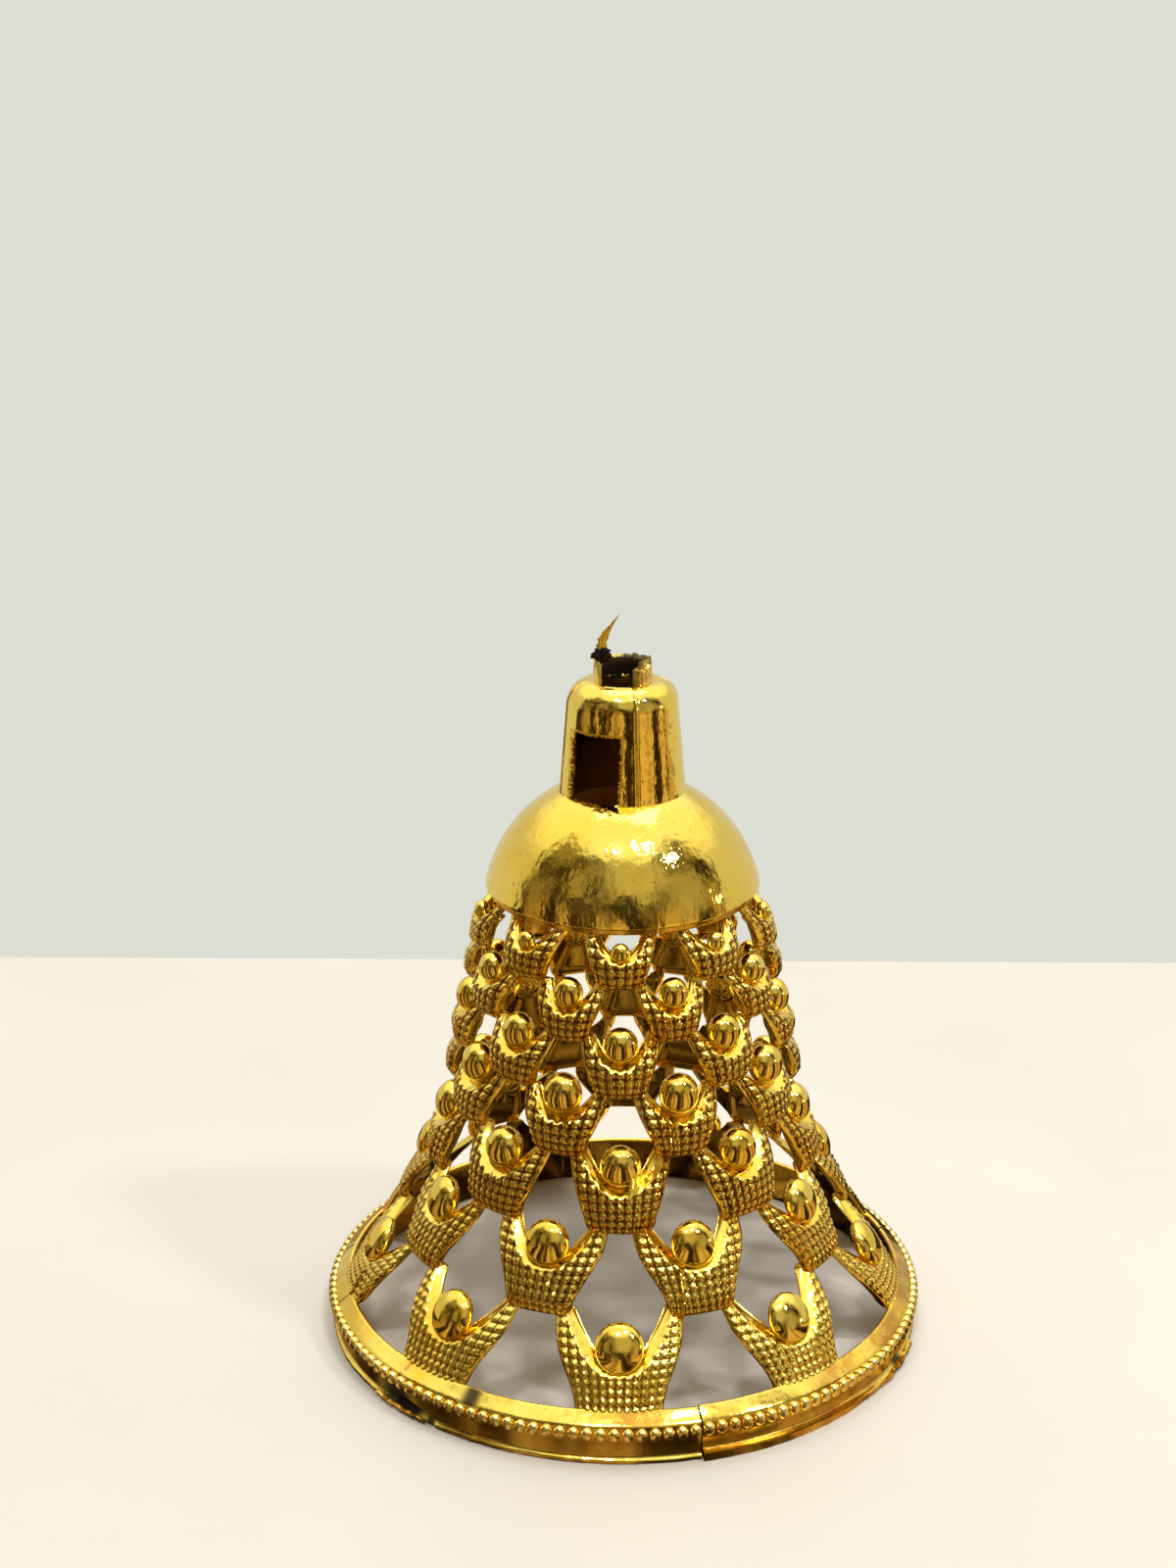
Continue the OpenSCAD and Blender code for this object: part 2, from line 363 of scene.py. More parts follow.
def gold(name, bright, deep, worn, rough, peel, relief=False, stain=0.0, inner=False, bare=False):
    """Gold plating, whose colour drifts between bright and deep and is worn where it is thin.

    rough sets its roughness and peel the height of its ripples. relief, inner and bare
    use the numbers of those names that the mesh carries, and stain adds worn blots.
    relief paints shade into the grooves between studs, and inner paints shade
    where the mesh marks it.
    """
    material = bpy.data.materials.new(name)
    material.use_nodes = True
    tree = material.node_tree
    shader = tree.nodes["Principled BSDF"]
    shader.inputs["Metallic"].default_value = 1.0
    shader.inputs["Specular IOR Level"].default_value = SPECULAR
    coords = new_node(tree, "ShaderNodeTexCoord").outputs["Object"]
    colour = mix(fade(noise(coords, DRIFT_SCALE, 5), 0.4, 0.66), bright, deep)
    edge = new_node(tree, "ShaderNodeNewGeometry").outputs["Pointiness"]
    patches = fade(noise(coords, PATCH_SCALE, 5), 0.5, 0.64)
    colour = mix(maths("MULTIPLY", fade(edge, 0.53, 0.6), patches), colour, worn)
    # Painted shade: the grooves between the studs are darkened towards the worn colour
    if relief:
        colour = mix(fade(stored(tree, "relief"), 0.14, 0.66), worn, colour)
    flecks = fade(noise(coords, FLECK_SCALE, 3), 0.66, 0.74)
    colour = mix(maths("MULTIPLY", flecks, 0.7), colour, worn)
    if stain:
        blots = fade(noise(coords, BLOT_SCALE, 6, 0.7), 0.5, 0.62)
        colour = mix(maths("MULTIPLY", blots, stain), colour, worn)
    roughness = maths("MULTIPLY_ADD", noise(coords, SKIN_SCALE, 4), rough, rough * 0.5)
    # Painted shade: points marked inner are darkened to a deep brown and made rougher
    if inner:
        inside = stored(tree, "inner")
        colour = mix(inside, colour, PAINTED_SHADE_COLOUR)
        roughness = maths("ADD", roughness, maths("MULTIPLY", inside, DULL))
    if bare:
        torn = stored(tree, "bare")
        colour = mix(torn, colour, BARE)
        roughness = maths("ADD", roughness, maths("MULTIPLY", torn, DULL))
        link(maths("SUBTRACT", 1.0, torn), shader.inputs["Metallic"])
    link(colour, shader.inputs["Base Color"])
    link(roughness, shader.inputs["Roughness"])
    link(skin_bump(coords, peel), shader.inputs["Normal"])
    return material


# Painted shade for the inside of a shell and the rim's face under the beads, and bare plastic
PAINTED_SHADE_COLOUR, BARE = (0.2, 0.085, 0.018), (0.014, 0.007, 0.004)
BRIGHT, DEEP = (1.0, 0.75, 0.14), (0.95, 0.6, 0.07)
PLAIN_GOLD = gold("plain_gold", BRIGHT, (0.98, 0.67, 0.09), (0.6, 0.3, 0.04), 0.06, 2.1, inner=True)
# The worn colour of the cups is both their wear and the painted shade between their studs
DOTTED_GOLD = gold("dotted_gold", BRIGHT, DEEP, (0.24, 0.08, 0.012), 0.12, 0.5, relief=True)
BALL_GOLD = gold("ball_gold", BRIGHT, (0.96, 0.64, 0.08), (0.66, 0.33, 0.05), 0.07, 0.8)
RIM_GOLD = gold("rim_gold", BRIGHT, DEEP, (0.55, 0.22, 0.035), 0.12, 1.2,
                stain=0.7, inner=True, bare=True)
# Painted highlight: the beads are a paler gold than the rest of the plating, so that they read whiter
BEAD_GOLD = gold("bead_gold", (1.0, 0.81, 0.27), (1.0, 0.73, 0.16), (0.75, 0.42, 0.07), 0.24, 0.5)
FOIL_GOLD = gold("foil_gold", (1.0, 0.74, 0.1), (1.0, 0.64, 0.07), (0.75, 0.4, 0.05), 0.3, 2.4,
                 bare=True)
DEEP_GOLD = gold("deep_gold", (0.88, 0.58, 0.08), (0.7, 0.36, 0.04), (0.5, 0.2, 0.03), 0.2, 1.2)
TORN_GOLD = gold("torn_gold", (1.0, 0.78, 0.22), (0.9, 0.56, 0.1), (0.3, 0.13, 0.03), 0.26, 2.0,
                 bare=True)

# ---------- cups and balls

STUD_X, STUD_S, STUD_H = 0.62, 0.68, 0.2
# Share of the cup's own widening that the studs follow
FAN = 0.45
# Length of a mesh cell on the cups
CELL = 0.115
# The two lowest rows have less painted shade between their studs
LESS_GROOVE_SHADE = {6: 0.75, 7: 0.45}
# Rings that close an arm: size, and height over the ring that they start from
TIP_RINGS = ((0.94, 0.1), (0.78, 0.22), (0.5, 0.3), (0.2, 0.33))


class Cup:
    """Outline, depth and studs of the cups of one row, drawn at azimuth 0.

    x runs across the cup, y up from the row's foot, and f is y as a share of its height.
    """

    # By row: height and width of the foot's round corners, and how low the foot hangs
    ROUND_F = (0.24, 0.22, 0.2, 0.2, 0.13, 0.1, 0.0)
    ROUND_X = (0.9, 0.8, 0.9, 0.85, 0.6, 0.5, 0.0)
    DROP = (0.1, 0.5, 0.25, 0.4, 0.45, 0.28, 0.0)
    # Lowest place of the lip and of the mouth inside it, and how far in each is at the tips
    LIP_F = (0.56, 0.52, 0.53, 0.57, 0.5, 0.49, 0.42)
    MOUTH_F = (0.62, 0.59, 0.6, 0.63, 0.57, 0.56, 0.5)
    LIP_IN = (0.7, 0.7, 0.75, 0.75, 0.8, 0.8, 0.8)
    MOUTH_IN = (0.35, 0.4, 0.4, 0.45, 0.55, 0.6, 0.7)
    # Depth of the ledge between the lip and the mouth
    SHELF = (0.4, 0.45, 0.5, 0.55, 0.65, 0.7, 0.75)

    def __init__(self, i):
        self.i = i
        self.h = ROW_H[i - 1]
        self.z = row_foot(i)
        self.low, self.high = FOOT_HALF[i - 1], ARM_HALF[i - 1]
        self.round_f, self.round_x = self.ROUND_F[i - 1], self.ROUND_X[i - 1]
        self.drop = self.DROP[i - 1]
        self.lip_f, self.mouth_f = self.LIP_F[i - 1], self.MOUTH_F[i - 1]
        self.lip_top = self.high - self.LIP_IN[i - 1]
        self.mouth_top = self.lip_top - self.MOUTH_IN[i - 1]
        self.shelf = self.SHELF[i - 1]

    def half(self, f):
        """Half the cup's width."""
        grow = smooth(0, 0.8, f) if self.i >= 6 else np.sin(np.clip(f, 0, 1) * math.pi / 2)
        return self.low + (self.high - self.low) * grow

    def outer(self):
        """Right half of the outline, from the arm's tip round to the middle of the foot."""
        f = np.linspace(1.0, max(self.round_f, 0.001), 50)
        line = [np.stack([self.half(f), f * self.h], -1)]
        if self.round_f:
            a = np.linspace(0, math.pi / 2, 16)[1:]
            x = self.half(self.round_f) - self.round_x * (1 - np.cos(a))
            tall = self.round_f * self.h
            line.append(np.stack([x, tall - (tall + self.drop) * np.sin(a)], -1))
        line.append([[0, line[-1][-1][1]]])
        return np.vstack(line)

    def curve(self, top_x, low_f, power):
        """Right half of a U from top_x, at the arm's tip, down to the middle at low_f."""
        f = low_f + (1 - low_f) * np.linspace(1, 0, 60) ** 2
        x = top_x * ((f - low_f) / (1 - low_f)) ** power
        return np.stack([x, f * self.h], -1)

    def depth(self, x, f):
        """How far the front lies inside the bell's outer surface."""
        share = np.minimum(np.abs(x) / self.half(f), 1.05)
        arms = (0.85 if self.i < 6 else 0.7) * smooth(0.45, 1.05, f)
        above = f + self.drop / self.h
        under = (0.0 if self.i == ROWS else 0.55) * (1 - smooth(0, 0.3, above)) ** 2
        belly = (0.32 if self.i < 6 else 0.1) * (1 - share ** 2) * np.sin(np.pi * np.clip(above, 0, 0.95))
        return 0.12 + arms + under + 0.28 * share ** 4 - belly

    def studs(self, x, f):
        """Height of the studs, from 0 between them to 1 on their tops."""
        spread = 1 + FAN * (self.half(f) / self.low - 1)
        s = f * self.h / math.cos(float(lean_at(self.z + self.h / 2)))
        first = 0.35 - (self.drop if self.i < ROWS else 0)
        u, v = x / spread / STUD_X, (s - first) / STUD_S
        bump = np.abs(np.cos(np.pi * u) * np.cos(np.pi * v)) ** 0.8
        return np.where(v > -0.5, bump, 0)

    def place(self, x, y, depth):
        z = self.z + y
        r = wall_r(z) - depth
        return np.stack([x, -np.sqrt(np.maximum(r * r - x * x, 0)), z], -1)

    def build(self):
        """Rings of points from one arm round to the other, and how raised each point is."""
        edge, slack = 0.22, 1.12
        outer, lip = self.outer(), self.curve(self.lip_top, self.lip_f, 0.42)
        mouth = self.curve(self.mouth_top, self.mouth_f, 0.5)
        length = np.hypot(*np.diff(outer, axis=0).T).sum() * slack
        count = int(length / CELL)
        lines = [by_length(line, count) for line in (outer, lip, mouth)]
        lines = [np.vstack([k, k[-2::-1] * [-1, 1]]) for k in lines]
        outer, lip, mouth = lines
        rows = len(outer)
        reach = np.hypot(*(lip - outer).T)
        inner = max(8, int(np.median(reach) / CELL))
        columns, values = [], []

        def column(xy, depth, relief=1.0):
            columns.append(self.place(xy[:, 0], xy[:, 1], np.broadcast_to(depth, (rows,))))
            values.append(np.broadcast_to(relief, (rows,)).astype(float))

        def front(xy):
            return self.depth(xy[:, 0], xy[:, 1] / self.h)

        along = (lip - outer) / reach[:, None]
        inset = outer + along * np.minimum(DRAFT, reach * 0.5)[:, None]
        back_depth = np.maximum(WALL_T, front(outer) + 0.55)
        # The drafted side of the cup, from its back to its front edge
        for share in (0.0, 0.4, 0.8, 1.0):
            spot = inset + (outer - inset) * math.sqrt(share)
            column(spot, back_depth + (front(outer) + edge - back_depth) * share)
        steps = np.concatenate([[0.03, 0.1], np.linspace(0.2, 1, inner)])
        # The studded front, from a rounded edge to the lip
        for n, share in enumerate(steps):
            q = np.minimum(share, reach * 0.5) if n < 2 else 0.2 + (share - 0.2) / 0.8 * (reach - 0.2)
            q = np.maximum(q, 0.0)
            xy = outer + along * np.reshape(q, (-1, 1))
            f = xy[:, 1] / self.h
            rounding = edge - np.sqrt(np.maximum(edge ** 2 - np.maximum(edge - q, 0) ** 2, 0))
            left = reach - q
            cover = smooth(0.1, 0.28, q) * smooth(-0.04, 0.1, left)
            studs = self.studs(xy[:, 0], f)
            depth = front(xy) + rounding + 0.07 * (1 - smooth(0, 0.18, left)) - STUD_H * studs * cover
            column(xy, depth + STUD_H * 0.25, 1 - cover * (1 - studs))
        # The ledge round the mouth, with a groove near its inner edge
        shelf_top = front(lip) + 0.1 + STUD_H * 0.25
        for t in (0.12, 0.3, 0.5, 0.7, 0.86, 0.95, 1.0):
            xy = lip + (mouth - lip) * t
            groove = 0.1 * math.exp(-((t - 0.86) / 0.07) ** 2)
            column(xy, shelf_top + self.shelf * (t ** 1.15) + groove)
        # Through the mouth to the back, and across the back to the side again
        mouth_top = shelf_top + self.shelf
        for t in (0.06, 0.5, 1.0):
            column(mouth, mouth_top + (np.maximum(back_depth, mouth_top + 0.15) - mouth_top) * t)
        for t in (0.25, 0.5, 0.75):
            column(mouth + (inset - mouth) * t, np.maximum(back_depth, mouth_top + 0.15 * (1 - t)))
        return self.with_tips(np.stack(columns, 1), np.stack(values, 1))

    def with_tips(self, points, relief):
        """Closes both arms with smaller and smaller rings."""
        lean = math.tan(float(lean_at(self.z + self.h)))

        def tip(loop):
            middle = loop.mean(0)
            return np.stack([middle + (loop - middle) * size + [0, rise * lean, rise]
                             for size, rise in TIP_RINGS])

        # The right arm is rounded over its end. The left arm's rings start short of its
        # end, which leaves a shallow hollow there
        right, left = tip(points[0]), tip(points[-1 - len(TIP_RINGS)])
        raised = np.ones((len(TIP_RINGS), points.shape[1]))
        return np.concatenate([right[::-1], points, left]), np.vstack([raised, relief, raised])

    def turns(self):
        first = CUP_SPACING / 2 if self.i % 2 == 0 else 0
        return [first + k * CUP_SPACING for k in range(CUPS)]


def add_cups(i):
    cup = Cup(i)
    points, relief = cup.build()
    faces = capped_tube_faces(*points.shape[:2])
    # Painted shade between the studs is lighter on the lowest rows
    relief = relief ** LESS_GROOVE_SHADE.get(i, 1.0)
    shell = Shell()
    for turn in cup.turns():
        shell.add(mould_step(turned(points.reshape(-1, 3), turn)), faces, relief=relief.ravel())
    mesh_piece(f"cups_{i}", shell, DOTTED_GOLD, [f"cup_row_{i}"], sharp=50)


def ball_mesh(r, around=40, up=24):
    """Points and faces of a ball at the origin, in rings from its lowest point up."""
    points, faces = [(0, 0, -r)], []
    for k in range(1, up):
        b = math.pi * k / up - math.pi / 2
        for j in range(around):
            a = 2 * math.pi * j / around
            points.append((r * math.cos(b) * math.cos(a), r * math.cos(b) * math.sin(a), r * math.sin(b)))
    points.append((0, 0, r))
    faces += [(0, 1 + (j + 1) % around, 1 + j) for j in range(around)]
    faces += grid_faces(up - 1, around, close_columns=True, start=1)
    last, top = 1 + (up - 2) * around, len(points) - 1
    faces += [(top, last + j, last + (j + 1) % around) for j in range(around)]
    return np.array(points), faces


def seat_ring(r, tall):
    """Low ridge round the lower part of a ball, thinning out at its ends."""
    turns, sides = 40, 8
    a = np.radians(np.linspace(-162, -18, turns))
    thick = 0.1 * np.sin(np.linspace(0.05, 0.95, turns) * math.pi) ** 0.5
    b = np.linspace(0, 2 * math.pi, sides, endpoint=False)
    ring = r + 0.06 + thick[:, None] * np.cos(b)
    x, s = ring * np.cos(a)[:, None], ring * tall * np.sin(a)[:, None]
    n = np.broadcast_to(thick[:, None] * np.sin(b), x.shape)
    return np.stack([x, s, n], -1).reshape(-1, 3), capped_tube_faces(turns, sides)


def add_balls(i):
    cup = Cup(i)
    r, z = BALL_R[i - 1], cup.z + BALL_RISE[i - 1] + BALL_LIFT
    thick = BALL_THICK[i - 1]
    lean = float(lean_at(z))
    across = np.array([1, 0, 0])
    slope = np.array([0, math.sin(lean), math.cos(lean)])
    out = np.array([0, -math.cos(lean), math.sin(lean)])
    sunk = (thick - BALL_PROUD) * r
    centre = np.array([0, sunk - float(wall_r(z)), z])
    points, faces = ball_mesh(r)
    tall = 1.08 if i == ROWS else 1.04
    ball = centre + points @ np.stack([across, slope * tall, out * thick])
    ring, ring_faces = seat_ring(r, tall)
    seat = centre + (ring + [0, 0, sunk - cup.shelf - 0.2]) @ np.stack([across, slope, out])
    shell = Shell()
    for turn in cup.turns():
        shell.add(turned(ball, turn), faces)
        shell.add(turned(seat, turn), ring_faces)
    mesh_piece(f"balls_{i}", shell, BALL_GOLD, [f"ball_row_{i}"])


for row in range(1, ROWS + 1):
    add_cups(row)
    add_balls(row)

# ---------- fins and web on the cups


def add_fins():
    """Fine fins that the mould's four parting lines left across the cups they meet."""
    count, furthest, tallest, uneven = 30, 7, 0.3, 0.35
    shell = Shell()
    for i in range(2, ROWS + 1):
        cup = Cup(i)
        for seam in QUARTERS.values():
            for turn in cup.turns():
                off = turn_between(seam, turn)
                if abs(off) > furthest:
                    continue
                f = np.linspace(0.02, cup.lip_f + 0.04, count)
                x = wall_r(cup.z + f * cup.h) * math.sin(math.radians(off))
                depth = cup.depth(x, f) + STUD_H * 0.25
                tall = tallest * np.sin(np.linspace(0.08, 0.92, count) * math.pi) ** 0.4
                tall *= 1 + uneven * rng.uniform(-1, 1, count)
                foot, crest = depth + 0.1, depth - tall
                sides = ((-0.09, foot), (-0.04, crest), (0.04, crest), (0.09, foot))
                section = [cup.place(x + side, f * cup.h, d) for side, d in sides]
                points = np.stack(section, 1)
                shell.add(turned(points.reshape(-1, 3), turn), capped_tube_faces(count, len(sides)))
    mesh_piece("parting_fins", shell, DEEP_GOLD, sharp=40)


def add_web():
    """A torn skin of plating across the right half of one cup's mouth."""
    columns, rows = 34, 9
    cup = Cup(5)
    x = np.linspace(0.62, 3.35, columns)
    top = np.interp(x, (0.62, 0.95, 1.5, 2.05, 2.6, 3.35), (3.3, 4.7, 4.15, 4.0, 4.55, 5.15))
    top += 0.16 * rng.uniform(-1, 1, columns)
    low = np.interp(x, (0.62, 1.5, 2.5, 3.35), (2.6, 2.85, 3.7, 4.9))
    front = []
    for share in np.linspace(0, 1, rows):
        y = low + (top - low) * share
        lift = float(smooth(0, 0.12, share)) * (0.2 + 0.7 * np.exp(-((x - 0.4) / 1.1) ** 2))
        proud = lift - share * (0.6 + 0.5 * smooth(1.0, 2.0, x))
        crumple = (0.07 * rng.uniform(-1, 1, columns) + 0.09 * np.sin(x * 8 + share * 3)) * share
        front.append(cup.place(x, y, 0.12 - proud - crumple))
    front = np.array(front)
    back = front[::-1] + [0, 0.09, 0]
    points = np.concatenate([front, back]).transpose(1, 0, 2)
    # A little bare plastic shows along the torn upper edge
    rise = np.linspace(0, 1, rows)
    edge_wear = np.concatenate([rise, rise[::-1]]) ** 12 * 0.4
    worn = np.broadcast_to(edge_wear, (columns, 2 * rows)).ravel()
    shell = Shell()
    shell.add(points, capped_tube_faces(columns, 2 * rows), bare=worn)
    mesh_piece("torn_web", shell, FOIL_GOLD, sharp=30)


add_fins()
add_web()

# ---------- dome, neck and collar

# Degrees between the points of a revolved piece, and the closer points at each parting line
ROUND_STEP, RIDGE_REACH, RIDGE_POINTS = 1.5, 1.4, 15
# Radius of the hole in the dome, under the neck
HOLE_R = 4.9
# How many points at the end of each outline are on the inside
DOME_INSIDE, NECK_INSIDE = 50, 19


def seam_ridge(azimuth, height, width):
    """Height of the fine ridge that each parting line leaves."""
    total = np.zeros_like(np.asarray(azimuth, float))
    for seam in QUARTERS.values():
        total += height * np.exp(-(turn_between(azimuth, seam) / width) ** 2)
    return total


def seam_azimuths():
    """Azimuths all round, closer together at the parting lines."""
    beside = np.linspace(-RIDGE_REACH, RIDGE_REACH, RIDGE_POINTS)
    near = np.concatenate([seam + beside for seam in QUARTERS.values()])
    even = np.arange(0, 360, ROUND_STEP)
    gap = np.abs(turn_between(even[:, None], near[None])).min(1)
    return np.sort(np.concatenate([near % 360, even[gap > ROUND_STEP * 0.6]]))


def revolved(name, outline, material, node, ridge, wide=0.55, inner=0, sharp=None):
    """A piece turned from a closed (r, z) outline, whose last inner points are its inside."""
    azimuths = seam_azimuths()
    inside = np.arange(len(outline)) >= len(outline) - inner
    r = outline[None, :, 0] + seam_ridge(azimuths, ridge, wide)[:, None] * ~inside
    z = np.broadcast_to(outline[None, :, 1], r.shape)
    faces = grid_faces(len(azimuths), len(outline), True, True)
    shell = Shell()
    # Points on the inside are marked inner, which paints shade on them
    shell.add(at(azimuths[:, None], r, z), faces, inner=np.broadcast_to(inside, r.shape).ravel())
    return mesh_piece(name, shell, material, [node], sharp=sharp)


def arc(centre, radius, low, high, count):
    a = np.radians(np.linspace(low, high, count))
    return np.stack([centre[0] + radius * np.cos(a), centre[1] + radius * np.sin(a)], -1)


def dome_outline():
    lip_r = 0.26
    top = math.degrees(math.acos(HOLE_R / DOME_R))
    edge = math.degrees(math.asin((DOME_EDGE_Z + 0.28 - DOME_Z) / DOME_R))
    inner_r = DOME_R - DOME_T
    inner_edge = math.degrees(math.asin((DOME_EDGE_Z + 0.2 - DOME_Z) / inner_r))
    inner_top = math.degrees(math.acos(HOLE_R / inner_r))
    outside = arc((0, DOME_Z), DOME_R, top, edge, 90)
    lip = arc((outside[-1][0] - lip_r, outside[-1][1] - 0.02), lip_r, 0, -90, 9)[1:]
    inside = arc((0, DOME_Z), inner_r, inner_edge, inner_top, DOME_INSIDE)
    return np.vstack([outside, lip, inside])


def neck_outline():
    shoulder = (NECK_TOP_R - SHOULDER_R, NECK_Z - SHOULDER_R)
    side = np.linspace(TAPER_Z, shoulder[1], 40)[1:-1]
    share = (side - TAPER_Z) / (shoulder[1] - TAPER_Z)
    width = NECK_FOOT_R + (NECK_TOP_R - NECK_FOOT_R) * share
    foot = [[NECK_FOOT_R, NECK_FOOT_Z], [NECK_FOOT_R, TAPER_Z - 0.3], [NECK_FOOT_R, TAPER_Z]]
    outside = [foot, np.stack([width, side], -1), arc(shoulder, SHOULDER_R, 0, 90, 26)]
    bore = arc((STUB_BORE_R + 0.1, NECK_Z - 0.1), 0.1, 90, 180, 4)
    hollow = arc(shoulder, SHOULDER_R - NECK_T, 90, 0, 16)
    inner_r = NECK_FOOT_R - NECK_T
    inside = [[[STUB_BORE_R, NECK_Z - NECK_T]], hollow, [[inner_r, TAPER_Z], [inner_r, NECK_FOOT_Z]]]
    return np.vstack([*outside, bore, *inside])


def cut_window(obj):
    """Cuts the neck's window out of obj."""
    w, front, back, smallest = WINDOW_W / 2, -7.1, -2.0, 0.0003
    mesh = bpy.data.meshes.new("window_cutter")
    corners = [(x, y, z) for z in (WINDOW_Z, WINDOW_Z + WINDOW_H)
               for x, y in ((-w, front), (w, front), (w, back), (-w, back))]
    points = turned(np.array(corners), WINDOW_TURN) * MM
    faces = [(0, 3, 2, 1), (4, 5, 6, 7), (0, 1, 5, 4), (1, 2, 6, 5), (2, 3, 7, 6), (3, 0, 4, 7)]
    mesh.from_pydata(points.tolist(), [], faces)
    cutter = new_object("window_cutter", mesh)
    modifier = obj.modifiers.new("window", "BOOLEAN")
    modifier.operation = "DIFFERENCE"
    modifier.solver = "EXACT"
    modifier.object = cutter
    depsgraph = bpy.context.evaluated_depsgraph_get()
    cut = bpy.data.meshes.new_from_object(obj.evaluated_get(depsgraph))
    obj.modifiers.clear()
    obj.data = cut
    bpy.data.objects.remove(cutter)
    # The cut leaves a few faces without area
    bm = bmesh.new()
    bm.from_mesh(cut)
    bmesh.ops.dissolve_degenerate(bm, dist=smallest * MM, edges=bm.edges[:])
    bm.to_mesh(cut)
    bm.free()
    cut.shade_smooth()
    cut.set_sharp_from_angle(angle=math.radians(35))


def on_neck(x, radius, z):
    """Points at this x and this radius from the bell's axis, on its -Y side."""
    return np.stack([x, -np.sqrt(radius ** 2 - x ** 2), z], -1)


def add_window_liner():
    """Rough plated skin round the inside of the window's cut edge."""
    side_count, top_count, uneven, left_jamb = 80, 64, 0.9, 2.6
    w, low, high = WINDOW_W / 2 - 0.015, WINDOW_Z + 0.5, WINDOW_Z + WINDOW_H - 0.015
    line = [(-w, z) for z in np.linspace(low, high, side_count)]
    line += [(x, high) for x in np.linspace(-w, w, top_count)[1:-1]]
    line += [(w, z) for z in np.linspace(high, low, side_count)]
    line = np.array(line)
    share = (line[:, 1] - TAPER_Z) / (NECK_Z - SHOULDER_R - TAPER_Z)
    outer = NECK_FOOT_R + (NECK_TOP_R - NECK_FOOT_R) * np.clip(share, 0, 1)
    on_side, on_top = np.abs(line[:, 0]) > w - 0.01, line[:, 1] > high - 0.01
    inward = -np.stack([np.sign(line[:, 0]) * on_side, on_top], -1)
    jamb = np.where(line[:, 0] < 0.01 - w, left_jamb, 1.0)[:, None]
    # Distance out from the neck's surface, and thickness in from the window's edge
    skin = ((0.05, 0.02), (0.02, 0.13), (-0.18, 0.12), (-0.36, 0.1), (-0.55, 0.08), (-NECK_T, 0.0))
    loops = []
    for radius, thick in skin:
        rough = 1 + uneven * rng.uniform(-1, 1, (len(line), 1))
        spot = line + inward * thick * rough * jamb
        loops.append(on_neck(spot[:, 0], outer + radius, spot[:, 1]))
    for radius in (-NECK_T, 0.04):
        spot = line - inward * 0.05
        loops.append(on_neck(spot[:, 0], outer + radius, spot[:, 1]))
    points = turned(np.stack(loops, 1).reshape(-1, 3), WINDOW_TURN)
    worn = np.broadcast_to([0, 0, 0, 0, 0.3, 0.9, 0.9, 0], (len(line), len(loops)))
    shell = Shell()
    shell.add(points, capped_tube_faces(len(line), len(loops)), bare=worn.ravel())
    mesh_piece("window_liner", shell, FOIL_GOLD, sharp=25)


revolved("dome_shell", dome_outline(), PLAIN_GOLD, "dome", 0.012,
         inner=DOME_INSIDE, sharp=35)
neck = revolved("neck_shell", neck_outline(), PLAIN_GOLD, "neck", 0.12, 1.3,
                inner=NECK_INSIDE, sharp=35)
cut_window(neck)
collar = filleted([(9.9, 38.0), (10.8, 38.0), (10.8, 38.5), (9.9, 38.5)], [0.12] * 4, 0.08)
revolved("collar_ring", collar, DEEP_GOLD, "collar", 0.03)
add_window_liner()

# ---------- hanger stub and wisp


